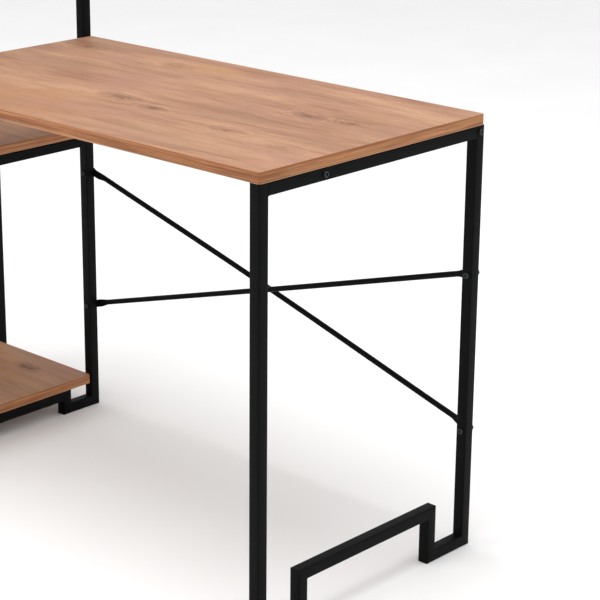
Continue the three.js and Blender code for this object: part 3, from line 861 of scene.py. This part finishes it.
def bolt_shape():
    """Button-head bolt with a hexagon socket, its head's seat at Z = 0 and its tip at +Z."""
    socket, lip = hexagon(SOCKET_RADIUS), hexagon(SOCKET_RADIUS + SOCKET_LIP)
    land = SOCKET_RADIUS + SOCKET_LAND
    bottom = -HEAD_HEIGHT + SOCKET_DEPTH
    dimple_radius, dimple_depth = SOCKET_DIMPLE
    rings = [
        ring_at(dimple_radius, bottom + dimple_depth), ring_at(socket, bottom),
        ring_at(socket, -HEAD_HEIGHT + SOCKET_LIP), ring_at(lip, -HEAD_HEIGHT),
    ]
    dome_height = HEAD_HEIGHT - HEAD_EDGE
    for step in range(DOME_STEPS + 1):
        angle = step / DOME_STEPS * math.pi / 2
        radius = land + (HEAD_RADIUS - land) * math.sin(angle)
        rings.append(ring_at(radius, -HEAD_EDGE - dome_height * math.cos(angle)))
    rings += [
        ring_at(HEAD_RADIUS, -HEAD_BREAK), ring_at(HEAD_RADIUS - HEAD_BREAK, 0),
        ring_at(BOLT_RADIUS + SHANK_FILLET, 0), ring_at(BOLT_RADIUS, SHANK_FILLET),
        ring_at(BOLT_RADIUS, THREAD_START),
    ]
    thread_end = BOLT_LENGTH - THREAD_PITCH
    steps = round((thread_end - THREAD_START) / (THREAD_PITCH / RINGS_PER_THREAD))
    for step in range(1, steps + 1):
        z = mix(THREAD_START, thread_end, step / steps)
        rings.append(ring_at(thread(z, THREAD_START), z))
    rings.append(ring_at(BOLT_RADIUS - BOLT_POINT, BOLT_LENGTH))
    rings.append(ring_at(TIP_RADIUS, BOLT_LENGTH))
    return loft(rings)


def nut_shape(height):
    """Hexagon nut from Z = 0 to its height, its corners turned down at both faces."""
    hexagonal = hexagon(NUT_RADIUS)
    face = NUT_FACE_SHARE * NUT_RADIUS * math.cos(math.pi / 6)
    turned_slope = math.tan(math.radians(NUT_TURNED_ANGLE))

    def shoulder(end, inward):
        ring = []
        for k in range(ROUND):
            angle = k * 2 * math.pi / ROUND
            radius = hexagonal(angle)
            z = end + inward * (radius - face) * turned_slope
            ring.append(Vector((radius * math.cos(angle), radius * math.sin(angle), z)))
        return ring

    bore = BOLT_RADIUS + NUT_CLEARANCE
    mouth = bore + NUT_MOUTH
    return loft([
        ring_at(mouth, 0), ring_at(face, 0), shoulder(0, 1), shoulder(height, -1),
        ring_at(face, height), ring_at(mouth, height),
        ring_at(bore, height - NUT_MOUTH), ring_at(bore, NUT_MOUTH),
    ], closed=True)


def screw_shape():
    """Pan-head wood screw with a cross recess, its head's seat at Z = 0 and its tip at +Z."""

    def head_point(radius, angle, z):
        x, y = radius * math.cos(angle), radius * math.sin(angle)
        short, long = sorted((abs(x), abs(y)))
        inside = smooth(CROSS_FLOOR - short / CROSS_HALF_WIDTH)
        inside *= smooth((CROSS_REACH - long) / CROSS_END)
        depth = CROSS_DEPTH * inside * (1 - CROSS_SLOPE * long / CROSS_REACH)
        return Vector((x, y, z + depth))

    rings = []
    for step in range(1, SCREW_HEAD_RINGS + 1):
        radius = SCREW_HEAD_RADIUS * SCREW_DOME_REACH * step / SCREW_HEAD_RINGS
        sag = 1 - math.sqrt(1 - SCREW_DOME * (radius / SCREW_HEAD_RADIUS) ** 2)
        z = -SCREW_HEAD_HEIGHT * (1 - SCREW_DOME_DROP * sag)
        rings.append([
            head_point(radius, k * 2 * math.pi / ROUND, z) for k in range(ROUND)
        ])
    rings += [
        ring_at(SCREW_HEAD_RADIUS, -SCREW_RIM * SCREW_HEAD_HEIGHT),
        ring_at(SCREW_HEAD_RADIUS, 0), ring_at(SCREW_RADIUS, 0),
        ring_at(SCREW_RADIUS, SCREW_LENGTH - SCREW_POINT),
        ring_at(SCREW_TIP_RADIUS, SCREW_LENGTH),
    ]
    return loft(rings)


spins = random.Random(7)


def random_spin():
    return spins.uniform(0, 2 * math.pi)


def bolt_seat(node, into):
    """Where the underside of a bolt's head sits, from the box of the bolt."""
    low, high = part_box(node)
    centre, half = (low + high) / 2, (high - low) / 2
    return centre - into * (abs(half.dot(into)) - HEAD_HEIGHT)


def nodes_with(word):
    return sorted(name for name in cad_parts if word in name)


def build_bolts():
    mesh = bolt_shape()
    for node in nodes_with("bolt"):
        if node.startswith("brace"):
            into = BACK
        else:
            into = RIGHT if node.endswith("left") else LEFT
        shape = placed(mesh, bolt_seat(node, into), into, random_spin())
        add_piece(f"{node}_machined", shape, STEEL, node, sharp_angle=38)


def build_nuts():
    for node in nodes_with("brace_nut"):
        low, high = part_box(node)
        base = Vector((middle(node).x, low.y, middle(node).z))
        shape = placed(nut_shape(high.y - low.y), base, BACK, random_spin())
        add_piece(f"{node}_machined", shape, STEEL, node, sharp_angle=28)


def paint_end_plates():
    """The rails' threaded plates stay the frame's own solids, with the frame's paint."""
    for node in nodes_with("end_plate"):
        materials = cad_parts[node].data.materials
        materials.clear()
        materials.append(FRAME_PAINT)


def screw_places():
    """Undersides of the rails and bars where wood screws go up into the boards."""
    desk_middle = middle("desktop_edge_band").x
    for rail_name in ("front_rail", "back_rail"):
        at = middle(rail_name)
        for step in (-1, 0, 1):
            yield Vector((desk_middle + step * RAIL_SCREW_PITCH, at.y, at.z - HALF_TUBE))
    bars = ["right_top_bar"] + [
        f"{side}_{bar}_bar" for side in ("inner", "outer")
        for bar in ("step", "middle", "upper", "top")
    ]
    for bar_name in bars:
        at = middle(bar_name)
        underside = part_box(bar_name)[1].z - 2 * HALF_TUBE
        for step in (-0.5, 0.5):
            yield Vector((at.x, at.y + step * BAR_SCREW_PITCH, underside))


def build_screws():
    mesh = screw_shape()
    for number, place in enumerate(screw_places(), start=1):
        shape = placed(mesh, place, UP, random_spin())
        add_piece(f"wood_screw_{number}", shape, STEEL, sharp_angle=40)


build_bolts()
build_nuts()
paint_end_plates()
build_screws()

# ---------- studio ----------


FLOOR_HALF = 30                   # metres from the middle to each side
WORLD_STRENGTH = 0.83


def build_floor():
    half = FLOOR_HALF
    corners = [(-half, -half, 0), (half, -half, 0), (half, half, 0), (-half, half, 0)]
    mesh = bpy.data.meshes.new("floor")
    mesh.from_pydata(corners, [], [(0, 1, 2, 3)])
    nodes = Nodes("pale_floor")
    grain = nodes.noise(nodes.place, scale=3, detail=3)
    colour = nodes.ramp(grain, (0.3, FLOOR_DARK), (0.7, FLOOR_LIGHT))
    nodes.set(Base_Color=colour, Roughness=0.7, Specular_IOR_Level=0.2)
    mesh.materials.append(nodes.material)
    floor = bpy.data.objects.new("floor", mesh)
    bpy.context.scene.collection.objects.link(floor)


def softbox(name, place, aim, side, power):
    """A square soft light of this side, at a place and turned towards its aim."""
    data = bpy.data.lights.new(name, "AREA")
    data.shape = "RECTANGLE"
    data.size = data.size_y = side
    data.energy = power
    light = bpy.data.objects.new(name, data)
    bpy.context.scene.collection.objects.link(light)
    light.location = place
    light.rotation_euler = (Vector(aim) - Vector(place)).to_track_quat("-Z", "Y").to_euler()


def build_studio():
    build_floor()
    world = bpy.data.worlds.new("studio")
    world.use_nodes = True
    background = world.node_tree.nodes["Background"]
    background.inputs["Color"].default_value = (1, 1, 1, 1)
    background.inputs["Strength"].default_value = WORLD_STRENGTH
    bpy.context.scene.world = world
    softbox("overhead", place=(0.3, -0.6, 4.2), aim=(0.1, 0, 0.5), side=3.0, power=116)
    softbox("front_left", place=(-2.6, -3.6, 2.6), aim=(0, 0, 0.6), side=2.2, power=28)
    bpy.context.scene.view_settings.view_transform = "Standard"


build_studio()
